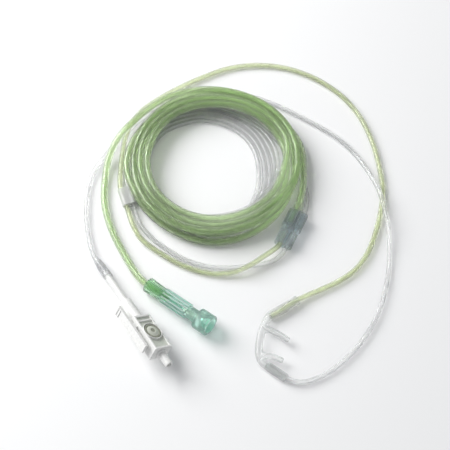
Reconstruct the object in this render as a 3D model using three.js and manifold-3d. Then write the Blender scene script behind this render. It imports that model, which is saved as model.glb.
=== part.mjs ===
// A divided nasal oxygen cannula lying on a table: one thin green tube and one thin clear tube loop
// from the nasal piece through a slide sleeve to the junction collar, and from there a wider pair
// is wound into a coil and ends at the oxygen connector and at the gas sampling adapter.
// Millimetres, +Z up, the table at z = 0.
import * as THREE from 'three';
import { mergeVertices } from 'three/addons/utils/BufferGeometryUtils.js';
import Module from 'manifold-3d';

const wasm = await Module();
wasm.setup();

// Clearances
const FIT = 0.3; // between pieces that touch
const END_GAP = 0.4; // between a tube's end and the shoulder of its bore
const TABLE_GAP = 0.1; // under every tube and fitting

// Tubes
const OXYGEN_LOOP_DIAMETER = 3.0;
const SAMPLING_LOOP_DIAMETER = 2.7;
const OXYGEN_FEED_DIAMETER = 3.9;
const SAMPLING_FEED_DIAMETER = 2.9;

// Coils
const OXYGEN_COIL_CENTRE = [-4.5, 37];
const OXYGEN_COIL_INNER_RADIUS = 36.8;
const OXYGEN_COIL_STRANDS = 3;
const OXYGEN_COIL_LAYERS = 2;
const SAMPLING_COIL_CENTRE = [-9.5, 36];
const SAMPLING_COIL_INNER_RADIUS = 29;
const SAMPLING_COIL_STRANDS = 5;
const COIL_SEGMENTS = 72;

// Slide sleeve, on a straight stretch of the two loop tubes
const SLEEVE_CENTRE = [-54, 16.6];
const SLEEVE_HEADING = -72; // degrees from +X, towards the junction collar
const SLEEVE_LENGTH = 11.2;
const SLEEVE_WALL = 0.45;
const SLEEVE_WEB = 0.3; // between its two bores
const SLEEVE_TRAVEL_BACK = 8; // straight tube behind the middle of the sleeve
const SLEEVE_TRAVEL_FRONT = 18.5; // straight tube ahead of it

// Junction collar
const COLLAR_LOOP_END = [31, -14.4];
const COLLAR_HEADING = 65;
const COLLAR_LOOP_LENGTH = 11.2;
const COLLAR_FEED_LENGTH = 10.4;
const COLLAR_WALL = 1.2;
const COLLAR_WEB = 0.8;
const COLLAR_BORE_DEPTH = 8.6;
const COLLAR_LUMEN_RADIUS = 0.9;

// Nasal piece
const NASAL_BODY_DIAMETER = 4.2;
const NASAL_LUMEN_RADIUS = 0.9;
const OXYGEN_SOCKET_MOUTH = [38, -46.5];
const OXYGEN_SOCKET_HEADING = 213; // into the socket
const OXYGEN_SOCKET_LENGTH = 18;
const OXYGEN_SOCKET_WALL = 0.6;
const SAMPLING_SOCKET_MOUTH = [30.6, -90.2];
const SAMPLING_SOCKET_HEADING = 144;
const SAMPLING_SOCKET_LENGTH = 12;
const SAMPLING_SOCKET_WALL = 0.65;
const PRONG_DIAMETER = 3.0;
const PRONG_LUMEN_RADIUS = 0.95;
const PRONG_BOSS_DIAMETER = 4.0;
const PRONG_BOSS_LENGTH = 1.2;

// Oxygen connector, along its own x from the tube to the socket
const CONNECTOR_INLET = [-40.4, -38.5];
const CONNECTOR_HEADING = -37;
const CONNECTOR_LENGTH = 41.4;
const CONNECTOR_BODY_RADIUS = 3.7;
const CONNECTOR_INLET_RADIUS = 4.1;
const CONNECTOR_INLET_LIP = 1.6;
const CONNECTOR_FLANGE_RADIUS = 5.7;
const CONNECTOR_FLANGE_LENGTH = 8;
const CONNECTOR_FLANGE_TAPER = 2.2;
const CONNECTOR_RIB_START = 10;
const CONNECTOR_RIB_END = 26;
const CONNECTOR_RIB_COUNT = 10;
const CONNECTOR_RIB_HEIGHT = 0.5;
const CONNECTOR_RIB_WIDTH = 1.1;
const CONNECTOR_TUBE_DEPTH = 15;
const CONNECTOR_SOCKET_RADIUS = 4.3;
const CONNECTOR_SOCKET_DEPTH = 7;
const CONNECTOR_NECK_RADIUS = 2.7;
const CONNECTOR_NECK_DEPTH = 17;
const CONNECTOR_LUMEN_RADIUS = 1.3;

// Gas sampling hub and adapter, along one axis from the tube to the port
const ADAPTER_START = [-67.9, -23.7];
const ADAPTER_HEADING = -57.2;
const ADAPTER_PITCH = 5.8;
const ADAPTER_ROLL = -34.5;
const HUB_LENGTH = 11.5;
const HUB_RADIUS = 2.4;
const HUB_MOUTH_RADIUS = 2;
const HUB_TUBE_DEPTH = 6.6;
const HUB_SEAT_DEPTH = 3;
const HUB_EAR_SPAN = 6.4;
const HUB_EAR_LENGTH = 3;
const HUB_EAR_THICKNESS = 1.2;
const BARREL_RADIUS = 1.7;
const BARREL_END = 30.4; // every adapter place is measured from the hub's mouth
const THROAT_RADIUS = 3.1;
const THROAT_END = 43.6;
const BOX_LENGTH = 22.6;
const BOX_WIDTH = 10.7;
const BOX_HEIGHT = 8.3;
const BOX_RECESS_RIM = 1;
const BOX_RECESS_DEPTH = 0.9;
const WINDOW_SEAT_RADIUS = 5.25;
const WINDOW_SEAT_HEIGHT = 0.3; // above the rim of the box
const WINDOW_RADIUS = 4.6;
const WINDOW_THICKNESS = 1.1;
const NIPPLE_RADIUS = 2.05;
const NIPPLE_LENGTH = 8.4;
const NIPPLE_FLANGE_RADIUS = 3;
const NIPPLE_FLANGE_LENGTH = 1;
const ADAPTER_LUMEN_RADIUS = 0.7;
const LATCH_THICKNESS = 1.4;
const LATCH_HEIGHT = 5.4;
const LATCH_GAP = 1.7;
const LATCH_OVERHANG = 9; // past the box, towards the hub
const LATCH_FULCRUM_LENGTH = 3;

// The middle of the fittings' bounding box goes to the origin
const FITTINGS_MIDDLE = [-12.3, -34.4];

// Sections and steps
const TUBE_SIDES = 8;
const ROUND_SIDES = 24;
const LOOP_STEPS = 72;
const LEAD_STEPS = 12;
const TAIL_STEPS = 34;

const oxygenLoopRadius = OXYGEN_LOOP_DIAMETER / 2;
const samplingLoopRadius = SAMPLING_LOOP_DIAMETER / 2;
const oxygenFeedRadius = OXYGEN_FEED_DIAMETER / 2;
const samplingFeedRadius = SAMPLING_FEED_DIAMETER / 2;

function radians(degrees) {
  return (degrees * Math.PI) / 180;
}

function heading(degrees) {
  return new THREE.Vector3(Math.cos(radians(degrees)), Math.sin(radians(degrees)), 0);
}

// A point at a distance along a heading and another to its left, level with z
function beside(start, degrees, along, left, z) {
  const ahead = heading(degrees);
  const across = heading(degrees + 90);
  return new THREE.Vector3(start[0], start[1], z)
    .addScaledVector(ahead, along)
    .addScaledVector(across, left);
}

function vectors(points) {
  return points.map((p) => new THREE.Vector3(...p));
}

// A tube's route, given as if its lowest point touched the table
function route(points) {
  return points.map((p) => new THREE.Vector3(p[0], p[1], p[2] + TABLE_GAP));
}

function disc(radius, sides) {
  const shape = new THREE.Shape();
  for (let i = 0; i < sides; i += 1) {
    const angle = (i / sides) * Math.PI * 2;
    const place = [radius * Math.cos(angle), radius * Math.sin(angle)];
    if (i === 0) shape.moveTo(...place);
    else shape.lineTo(...place);
  }
  shape.closePath();
  return shape;
}

function sweep(points, radius, sides, steps) {
  const path = new THREE.CatmullRomCurve3(points, false, 'centripetal');
  return new THREE.ExtrudeGeometry(disc(radius, sides), { steps, extrudePath: path });
}

// A body of revolution about x from pairs of x and radius
function turned(profile, sides = ROUND_SIDES) {
  const outline = profile.map(([x, r]) => new THREE.Vector2(r, x));
  const geometry = new THREE.LatheGeometry(outline, sides);
  geometry.rotateZ(-Math.PI / 2);
  return geometry;
}

function rod(from, to, radius, sides = ROUND_SIDES) {
  return turned([[from, 0], [from, radius], [to, radius], [to, 0]], sides);
}

function block(x0, x1, y0, y1, z0, z1) {
  const geometry = new THREE.BoxGeometry(x1 - x0, y1 - y0, z1 - z0);
  geometry.translate((x0 + x1) / 2, (y0 + y1) / 2, (z0 + z1) / 2);
  return geometry;
}

// A rounded rectangle across x, with its width along y and its height along z
function rounded(x0, x1, width, height, corner) {
  const w = width / 2;
  const h = height / 2;
  const shape = new THREE.Shape();
  shape.moveTo(-w + corner, -h);
  shape.lineTo(w - corner, -h);
  shape.absarc(w - corner, -h + corner, corner, -Math.PI / 2, 0);
  shape.absarc(w - corner, h - corner, corner, 0, Math.PI / 2);
  shape.absarc(-w + corner, h - corner, corner, Math.PI / 2, Math.PI);
  shape.absarc(-w + corner, -h + corner, corner, Math.PI, Math.PI * 1.5);
  const geometry = new THREE.ExtrudeGeometry(shape, {
    depth: x1 - x0,
    bevelEnabled: false,
    curveSegments: 6,
  });
  geometry.rotateX(Math.PI / 2);
  geometry.rotateZ(Math.PI / 2);
  geometry.translate(x0, 0, 0);
  return geometry;
}

function solid(geometry) {
  const bare = geometry.index ? geometry.toNonIndexed() : geometry.clone();
  bare.deleteAttribute('normal');
  bare.deleteAttribute('uv');
  const merged = mergeVertices(bare, 1e-4);
  const mesh = new wasm.Mesh({
    numProp: 3,
    vertProperties: new Float32Array(merged.attributes.position.array),
    triVerts: new Uint32Array(merged.index.array),
  });
  return new wasm.Manifold(mesh);
}

function joined(geometries) {
  return geometries.map(solid).reduce((sum, next) => sum.add(next));
}

function carved(outside, hollows) {
  return hollows.map(solid).reduce((left, next) => left.subtract(next), outside);
}

function geometryOf(body) {
  const mesh = body.getMesh();
  const geometry = new THREE.BufferGeometry();
  const positions = new Float32Array(mesh.vertProperties);
  geometry.setAttribute('position', new THREE.BufferAttribute(positions, 3));
  geometry.setIndex(new THREE.BufferAttribute(new Uint32Array(mesh.triVerts), 1));
  geometry.computeVertexNormals();
  return geometry;
}

const CLEAR_PVC = { color: 0xe6eae8, roughness: 0.15, metalness: 0 };
const LOOP_GREEN = { color: 0xcfe0a0, roughness: 0.15, metalness: 0 };
const FEED_GREEN = { color: 0x8fb868, roughness: 0.15, metalness: 0 };
const TEAL = { color: 0x86cfb0, roughness: 0.25, metalness: 0 };
const SMOKE_BLUE = { color: 0x7f9aa0, roughness: 0.2, metalness: 0 };
const WHITE = { color: 0xf2f2ef, roughness: 0.3, metalness: 0 };
const WINDOW_GREY = { color: 0x9aa294, roughness: 0.2, metalness: 0 };

function piece(name, geometry, finish) {
  const mesh = new THREE.Mesh(geometry, new THREE.MeshStandardMaterial(finish));
  mesh.name = name;
  return mesh;
}

// Coils: the sampling coil lies on the table in one layer, the oxygen coil rests on it
const samplingCoilWidth = SAMPLING_COIL_STRANDS * SAMPLING_FEED_DIAMETER;
const oxygenCoilWidth = OXYGEN_COIL_STRANDS * OXYGEN_FEED_DIAMETER;
const oxygenCoilBottom = SAMPLING_FEED_DIAMETER + FIT;

function coil(name, centre, inner, width, bottom, height, chamfer, finish) {
  const outer = inner + width;
  const top = bottom + height;
  const outline = [
    [inner, bottom + chamfer],
    [inner + chamfer, bottom],
    [outer - chamfer, bottom],
    [outer, bottom + chamfer],
    [outer, top - chamfer],
    [outer - chamfer, top],
    [inner + chamfer, top],
    [inner, top - chamfer],
    [inner, bottom + chamfer],
  ].map(([r, z]) => new THREE.Vector2(r, z));
  const geometry = new THREE.LatheGeometry(outline, COIL_SEGMENTS);
  geometry.rotateX(Math.PI / 2);
  const ring = piece(name, geometry, finish);
  ring.position.set(centre[0], centre[1], 0);
  return ring;
}

function oxygenCoil() {
  const height = OXYGEN_COIL_LAYERS * OXYGEN_FEED_DIAMETER;
  return coil('oxygen_coil', OXYGEN_COIL_CENTRE, OXYGEN_COIL_INNER_RADIUS, oxygenCoilWidth,
    oxygenCoilBottom, height, oxygenFeedRadius / 2, FEED_GREEN);
}

function samplingCoil() {
  return coil('sampling_coil', SAMPLING_COIL_CENTRE, SAMPLING_COIL_INNER_RADIUS,
    samplingCoilWidth, 0, SAMPLING_FEED_DIAMETER, samplingFeedRadius / 2, CLEAR_PVC);
}

// Slide sleeve: an oval moulding with one bore for each loop tube
const sleeveOxygenBore = oxygenLoopRadius + FIT;
const sleeveSamplingBore = samplingLoopRadius + FIT;
const sleeveWidth = 2 * (SLEEVE_WALL + sleeveOxygenBore + sleeveSamplingBore) + SLEEVE_WEB;
const sleeveHeight = 2 * (sleeveOxygenBore + SLEEVE_WALL);
const sleeveOxygenSide = -sleeveWidth / 2 + SLEEVE_WALL + sleeveOxygenBore;
const sleeveSamplingSide = sleeveWidth / 2 - SLEEVE_WALL - sleeveSamplingBore;
const sleeveZ = sleeveHeight / 2;

function slideSleeve() {
  const half = SLEEVE_LENGTH / 2;
  const past = half + 1;
  const outside = solid(rounded(-half, half, sleeveWidth, sleeveHeight, sleeveHeight / 2 - 0.05));
  const oxygenBore = rod(-past, past, sleeveOxygenBore, 16);
  oxygenBore.translate(0, sleeveOxygenSide, 0);
  const samplingBore = rod(-past, past, sleeveSamplingBore, 16);
  samplingBore.translate(0, sleeveSamplingSide, 0);
  const body = carved(outside, [oxygenBore, samplingBore]);
  const sleeve = piece('slide_sleeve', geometryOf(body), CLEAR_PVC);
  sleeve.position.set(SLEEVE_CENTRE[0], SLEEVE_CENTRE[1], sleeveZ);
  sleeve.rotation.z = radians(SLEEVE_HEADING);
  return sleeve;
}

function inSleeve(side, along) {
  return beside(SLEEVE_CENTRE, SLEEVE_HEADING, along, side, sleeveZ);
}

// Junction collar: narrow at the loop tubes and wider at the feed tubes
const collarLoopBores = [oxygenLoopRadius + FIT, samplingLoopRadius + FIT];
const collarFeedBores = [oxygenFeedRadius + FIT, samplingFeedRadius + FIT];
const collarLength = COLLAR_LOOP_LENGTH + COLLAR_FEED_LENGTH;
const collarHeight = 2 * (collarFeedBores[0] + COLLAR_WALL);
const collarZ = collarHeight / 2;

function collarWidth(bores) {
  return 2 * (COLLAR_WALL + bores[0] + bores[1]) + COLLAR_WEB;
}

// The oxygen bore is on the left of the collar's heading and the sampling bore on the right
function collarOffsets(bores) {
  const half = collarWidth(bores) / 2;
  return [half - COLLAR_WALL - bores[0], -half + COLLAR_WALL + bores[1]];
}

function junctionCollar() {
  const step = COLLAR_LOOP_LENGTH;
  const end = collarLength;
  const outside = joined([
    rounded(0, step + 0.5, collarWidth(collarLoopBores), collarHeight - 0.8, 2.2),
    rounded(step, end, collarWidth(collarFeedBores), collarHeight, 2.4),
  ]);
  const loopSides = collarOffsets(collarLoopBores);
  const feedSides = collarOffsets(collarFeedBores);
  const hollows = [];
  for (const i of [0, 1]) {
    const loopBore = rod(-1, COLLAR_BORE_DEPTH, collarLoopBores[i], 16);
    loopBore.translate(0, loopSides[i], 0);
    const feedBore = rod(end - COLLAR_BORE_DEPTH, end + 1, collarFeedBores[i], 16);
    feedBore.translate(0, feedSides[i], 0);
    const lumen = rod(COLLAR_BORE_DEPTH - 1, end - COLLAR_BORE_DEPTH + 1, COLLAR_LUMEN_RADIUS, 12);
    lumen.translate(0, (loopSides[i] + feedSides[i]) / 2, 0);
    hollows.push(loopBore, feedBore, lumen);
  }
  const collar = piece('junction_collar', geometryOf(carved(outside, hollows)), SMOKE_BLUE);
  collar.position.set(COLLAR_LOOP_END[0], COLLAR_LOOP_END[1], collarZ);
  collar.rotation.z = radians(COLLAR_HEADING);
  return collar;
}

function atCollar(bores, which, along) {
  const side = collarOffsets(bores)[which];
  return beside(COLLAR_LOOP_END, COLLAR_HEADING, along, side, collarZ);
}

// Nasal piece: a bent body with a socket at each end and two prongs, divided in the middle so
// that one prong gives oxygen and the other takes the sample
const oxygenSocketBore = oxygenLoopRadius + FIT;
const samplingSocketBore = samplingLoopRadius + FIT;
const oxygenSocketRadius = oxygenSocketBore + OXYGEN_SOCKET_WALL;
const samplingSocketRadius = samplingSocketBore + SAMPLING_SOCKET_WALL;
const nasalZ = Math.max(oxygenSocketRadius, samplingSocketRadius);
const oxygenSocketBase = beside(OXYGEN_SOCKET_MOUTH, OXYGEN_SOCKET_HEADING,
  OXYGEN_SOCKET_LENGTH, 0, nasalZ);
const samplingSocketBase = beside(SAMPLING_SOCKET_MOUTH, SAMPLING_SOCKET_HEADING,
  SAMPLING_SOCKET_LENGTH, 0, nasalZ);
const nasalBridge = vectors([
  [20, -61.6, nasalZ],
  [18.4, -66.5, nasalZ],
  [17.5, -71.5, nasalZ],
  [17.3, -76.5, nasalZ],
  [18.3, -80.5, nasalZ],
]);
const oxygenProng = vectors([
  [19.6, -62.7, nasalZ],
  [23.5, -64.2, nasalZ + 0.6],
  [28, -66.8, nasalZ + 1.2],
  [32.6, -70.2, nasalZ + 1.4],
]);
const samplingProng = vectors([
  [17.6, -78.2, nasalZ],
  [21.5, -78.4, nasalZ + 0.6],
  [25.5, -79.5, nasalZ + 1.2],
  [29.3, -81.4, nasalZ + 1.4],
]);

function prongBoss(prong) {
  const out = prong[1].clone().sub(prong[0]).normalize();
  const from = prong[0].clone().addScaledVector(out, NASAL_BODY_DIAMETER / 2 - 0.4);
  const to = from.clone().addScaledVector(out, PRONG_BOSS_LENGTH);
  return sweep([from, to], PRONG_BOSS_DIAMETER / 2, 16, 1);
}

function beyond(point, from, distance) {
  const out = point.clone().sub(from).normalize();
  return point.clone().addScaledVector(out, distance);
}

function nasalPiece() {
  const oxygenMouth = new THREE.Vector3(...OXYGEN_SOCKET_MOUTH, nasalZ);
  const samplingMouth = new THREE.Vector3(...SAMPLING_SOCKET_MOUTH, nasalZ);
  const bodyRadius = NASAL_BODY_DIAMETER / 2;
  const spine = [oxygenSocketBase, ...nasalBridge, samplingSocketBase];
  const spineStart = beyond(spine[0], spine[1], -1);
  const spineEnd = beyond(spine[spine.length - 1], spine[spine.length - 2], -0.5);
  const outside = joined([
    sweep([spineStart, ...nasalBridge, spineEnd], bodyRadius, 14, 14),
    sweep([oxygenMouth, beyond(oxygenSocketBase, oxygenMouth, 1)], oxygenSocketRadius, 16, 1),
    sweep([samplingMouth, beyond(samplingSocketBase, samplingMouth, 1)],
      samplingSocketRadius, 16, 1),
    sweep(oxygenProng, PRONG_DIAMETER / 2, 12, 6),
    sweep(samplingProng, PRONG_DIAMETER / 2, 12, 6),
    prongBoss(oxygenProng),
    prongBoss(samplingProng),
  ]);
  const prongTipPast = [oxygenProng, samplingProng].map((p) => beyond(p[3], p[2], 1));
  const oxygenWay = [oxygenSocketBase, nasalBridge[0], ...oxygenProng.slice(1), prongTipPast[0]];
  const samplingWay = [samplingSocketBase, nasalBridge[4], ...samplingProng.slice(1),
    prongTipPast[1]];
  const hollows = [
    sweep([beyond(oxygenMouth, oxygenSocketBase, 1), oxygenSocketBase], oxygenSocketBore, 16, 1),
    sweep([beyond(samplingMouth, samplingSocketBase, 1), samplingSocketBase],
      samplingSocketBore, 16, 1),
    sweep(oxygenWay, NASAL_LUMEN_RADIUS, 8, 14),
    sweep(samplingWay, PRONG_LUMEN_RADIUS, 8, 14),
  ];
  return piece('nasal_piece', geometryOf(carved(outside, hollows)), CLEAR_PVC);
}

// Loop tubes, from their sockets in the nasal piece to their bores in the collar
function loopTube(name, start, mouth, around, side, across, which, radius, finish) {
  const points = [
    start,
    mouth,
    ...route(around),
    inSleeve(side, -SLEEVE_TRAVEL_BACK),
    inSleeve(side, SLEEVE_TRAVEL_FRONT / 2),
    inSleeve(side, SLEEVE_TRAVEL_FRONT),
    ...route(across),
    atCollar(collarLoopBores, which, -1.5),
    atCollar(collarLoopBores, which, COLLAR_BORE_DEPTH - END_GAP),
  ];
  return piece(name, sweep(points, radius, TUBE_SIDES, LOOP_STEPS), finish);
}

function oxygenLoopTube() {
  const mouth = new THREE.Vector3(...OXYGEN_SOCKET_MOUTH, nasalZ);
  const start = beyond(oxygenSocketBase, mouth, -END_GAP);
  const around = [
    [50, -40.4, 1.7],
    [59.5, -35.5, 1.5],
    [69, -28.5, 1.5],
    [76, -19, 1.5],
    [81.5, -6, 1.5],
    [85.5, 8, 1.5],
    [87.5, 21.5, 1.5],
    [86.5, 38, 1.5],
    [83.5, 55, 1.5],
    [77.5, 72, 1.5],
    [67.5, 87, 1.5],
    [51.5, 100, 1.5],
    [35, 107, 1.5],
    [18.5, 109, 1.5],
    [2, 106.5, 1.5],
    [-12, 100.5, 1.5],
    [-26, 92.5, 1.8],
    [-39.5, 82, 3.2],
    [-48, 73, 4.8],
    [-53.4, 64.5, 4.9],
    [-56.4, 55, 4.2],
    [-57.8, 45, 2.9],
    [-58.4, 34, sleeveZ],
  ];
  const across = [
    [-45, -10, 1.9],
    [-34, -18.8, 1.5],
    [-21, -26.4, 1.5],
    [-7.5, -30.6, 1.5],
    [4, -30.6, 2.6],
    [13, -27.4, 4.6],
    [20, -22.4, 4.6],
    [25.5, -18, 4],
  ];
  return loopTube('oxygen_loop_tube', start, mouth, around, sleeveOxygenSide, across, 0,
    oxygenLoopRadius, LOOP_GREEN);
}

function samplingLoopTube() {
  const mouth = new THREE.Vector3(...SAMPLING_SOCKET_MOUTH, nasalZ);
  const start = beyond(samplingSocketBase, mouth, -END_GAP);
  const around = [
    [38, -92, 1.7],
    [48, -89, 1.35],
    [57, -83, 1.35],
    [66, -74.5, 1.35],
    [73, -65.5, 1.35],
    [79.5, -54, 1.35],
    [84.5, -39.5, 1.35],
    [87.5, -25, 1.5],
    [88.3, -12, 2.8],
    [87.9, 0, 4.5],
    [86.6, 10, 4.85],
    [84.6, 20, 4.6],
    [80.8, 31, 3],
    [73.5, 45.5, 1.4],
    [66, 54.5, 1.35],
    [56.5, 62.5, 1.35],
    [42.5, 72, 1.35],
    [29, 80, 1.35],
    [18, 85, 1.35],
    [6, 87.8, 1.35],
    [-5, 87.9, 1.35],
    [-16, 86.3, 2],
    [-26, 82.6, 3.6],
    [-35, 77.2, 4.8],
    [-42.8, 69.8, 4.3],
    [-48.9, 61, 3],
    [-53, 50.8, 2.2],
    [-54.9, 40, 2.1],
    [-55.3, 31, sleeveZ],
  ];
  const across = [
    [-40.6, -8, 1.7],
    [-32, -15.4, 1.35],
    [-20.5, -22.6, 1.35],
    [-8, -26.6, 1.35],
    [4, -27, 1.35],
    [15, -25.8, 1.35],
    [24.5, -23.6, 1.6],
    [29.5, -20.6, 2.6],
  ];
  return loopTube('sampling_loop_tube', start, mouth, around, sleeveSamplingSide, across, 1,
    samplingLoopRadius, CLEAR_PVC);
}

// Feed tubes: a lead from the collar to each coil, and a tail from the coil to its fitting
function lead(name, which, way, radius, finish) {
  const points = [
    atCollar(collarFeedBores, which, collarLength - COLLAR_BORE_DEPTH + END_GAP),
    atCollar(collarFeedBores, which, collarLength + 1),
    ...route(way),
  ];
  return piece(name, sweep(points, radius, TUBE_SIDES, LEAD_STEPS), finish);
}

function oxygenFeedLead() {
  const way = [
    [42.6, 15, 4.5],
    [44.4, 20, 5.1],
    [45.6, 25.5, 5.3],
    [46.4, 33, 5.3],
    [46.2, 41, 5.3],
    [44.7, 50, 5.3],
  ];
  return lead('oxygen_feed_lead', 0, way, oxygenFeedRadius, FEED_GREEN);
}

function samplingFeedLead() {
  const way = [
    [45.4, 10.5, 2.4],
    [46.3, 17, 1.5],
    [45, 24.5, 1.45],
    [41.8, 31.5, 1.45],
    [38.2, 37.5, 1.45],
    [35.5, 43, 1.45],
  ];
  return lead('sampling_feed_lead', 1, way, samplingFeedRadius, CLEAR_PVC);
}

// Oxygen connector: a ribbed sleeve with a socket for the gas outlet in its flange. It lies on
// the rims of its two ends.
const connectorRun = CONNECTOR_LENGTH - CONNECTOR_FLANGE_LENGTH - CONNECTOR_INLET_LIP;
const connectorPitch = Math.asin((CONNECTOR_FLANGE_RADIUS - CONNECTOR_INLET_RADIUS)
  / connectorRun);
const connectorInletZ = CONNECTOR_INLET_RADIUS * Math.cos(connectorPitch) + TABLE_GAP;

function connectorRibs() {
  const ribs = [];
  for (let i = 0; i < CONNECTOR_RIB_COUNT; i += 1) {
    const rib = block(CONNECTOR_RIB_START, CONNECTOR_RIB_END, -CONNECTOR_RIB_WIDTH / 2,
      CONNECTOR_RIB_WIDTH / 2, CONNECTOR_BODY_RADIUS - 0.6,
      CONNECTOR_BODY_RADIUS + CONNECTOR_RIB_HEIGHT);
    rib.rotateX((i / CONNECTOR_RIB_COUNT) * Math.PI * 2);
    ribs.push(rib);
  }
  return ribs;
}

function connectorFrame() {
  const frame = new THREE.Group();
  frame.position.set(CONNECTOR_INLET[0], CONNECTOR_INLET[1], connectorInletZ);
  frame.rotation.order = 'ZYX';
  frame.rotation.z = radians(CONNECTOR_HEADING);
  frame.rotation.y = -connectorPitch;
  frame.updateMatrixWorld();
  return frame;
}

function oxygenConnector() {
  const flangeStart = CONNECTOR_LENGTH - CONNECTOR_FLANGE_LENGTH;
  const outside = turned([
    [0, 0],
    [0, CONNECTOR_INLET_RADIUS],
    [CONNECTOR_INLET_LIP, CONNECTOR_INLET_RADIUS],
    [CONNECTOR_INLET_LIP * 3, CONNECTOR_BODY_RADIUS],
    [flangeStart - CONNECTOR_FLANGE_TAPER, CONNECTOR_BODY_RADIUS],
    [flangeStart, CONNECTOR_FLANGE_RADIUS],
    [CONNECTOR_LENGTH, CONNECTOR_FLANGE_RADIUS],
    [CONNECTOR_LENGTH, 0],
  ], 28);
  const socketStart = CONNECTOR_LENGTH - CONNECTOR_SOCKET_DEPTH;
  const neckStart = CONNECTOR_LENGTH - CONNECTOR_NECK_DEPTH;
  const hollows = [
    rod(-1, CONNECTOR_TUBE_DEPTH, oxygenFeedRadius + FIT, 16),
    rod(socketStart, CONNECTOR_LENGTH + 1, CONNECTOR_SOCKET_RADIUS, 24),
    rod(neckStart, socketStart + 1, CONNECTOR_NECK_RADIUS, 16),
    rod(CONNECTOR_TUBE_DEPTH - 1, neckStart + 1, CONNECTOR_LUMEN_RADIUS, 12),
  ];
  const body = carved(joined([outside, ...connectorRibs()]), hollows);
  const frame = connectorFrame();
  frame.add(piece('oxygen_connector', geometryOf(body), TEAL));
  return frame;
}

function oxygenFeedTail() {
  const way = route([
    [-38.8, 75.2, 9.2],
    [-46.4, 69, 9.1],
    [-52, 62.6, 9],
    [-57, 56.6, 8.5],
    [-61.5, 50, 6.9],
    [-64.2, 44, 4.9],
    [-66, 37, 3],
    [-66.8, 27, 1.95],
    [-66.4, 14, 1.95],
    [-63.8, 2.5, 1.95],
    [-60, -7.5, 1.95],
    [-55, -17.5, 1.95],
    [-49.8, -26.8, 2.4],
    [-46, -33, 3.3],
  ]);
  const frame = connectorFrame();
  const mouthBefore = frame.localToWorld(new THREE.Vector3(-2.5, 0, 0));
  const inside = frame.localToWorld(new THREE.Vector3(CONNECTOR_TUBE_DEPTH - END_GAP, 0, 0));
  const points = [...way, mouthBefore, inside];
  return piece('oxygen_feed_tail', sweep(points, oxygenFeedRadius, TUBE_SIDES, TAIL_STEPS),
    FEED_GREEN);
}

// Gas sampling hub and adapter, built along x from the hub's mouth. The adapter lies rolled on
// one long edge of its box, with the hub's rim on the table.
const boxEnd = THROAT_END + BOX_LENGTH;
const rollAngle = radians(ADAPTER_ROLL);
const boxDrop = (BOX_HEIGHT / 2) * Math.cos(rollAngle)
  + (BOX_WIDTH / 2) * Math.abs(Math.sin(rollAngle));
const latchOut = BOX_WIDTH / 2 + LATCH_GAP + LATCH_THICKNESS;
const pitchAngle = radians(ADAPTER_PITCH);
const adapterStartZ = boxDrop * Math.cos(pitchAngle) - THROAT_END * Math.sin(pitchAngle)
  + TABLE_GAP;

function adapterFrame() {
  const frame = new THREE.Group();
  frame.position.set(ADAPTER_START[0], ADAPTER_START[1], adapterStartZ);
  frame.rotation.order = 'ZYX';
  frame.rotation.z = radians(ADAPTER_HEADING);
  frame.rotation.y = -pitchAngle;
  frame.rotation.x = rollAngle;
  frame.updateMatrixWorld();
  return frame;
}

function hubGeometry() {
  const halfEar = HUB_EAR_SPAN / 2;
  const earStart = HUB_LENGTH - HUB_EAR_LENGTH;
  const outside = joined([
    turned([
      [0, 0],
      [0, HUB_MOUTH_RADIUS],
      [2, HUB_MOUTH_RADIUS],
      [4, HUB_RADIUS],
      [HUB_LENGTH, HUB_RADIUS],
      [HUB_LENGTH, 0],
    ], 20),
    block(earStart, HUB_LENGTH, -halfEar, halfEar, -HUB_EAR_THICKNESS / 2, HUB_EAR_THICKNESS / 2),
  ]);
  return geometryOf(carved(outside, [
    rod(-1, HUB_TUBE_DEPTH, samplingFeedRadius + FIT, 16),
    rod(HUB_LENGTH - HUB_SEAT_DEPTH, HUB_LENGTH + 1, BARREL_RADIUS + FIT, 16),
    rod(HUB_TUBE_DEPTH - 1, HUB_LENGTH - 1, ADAPTER_LUMEN_RADIUS, 10),
  ]));
}

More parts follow.
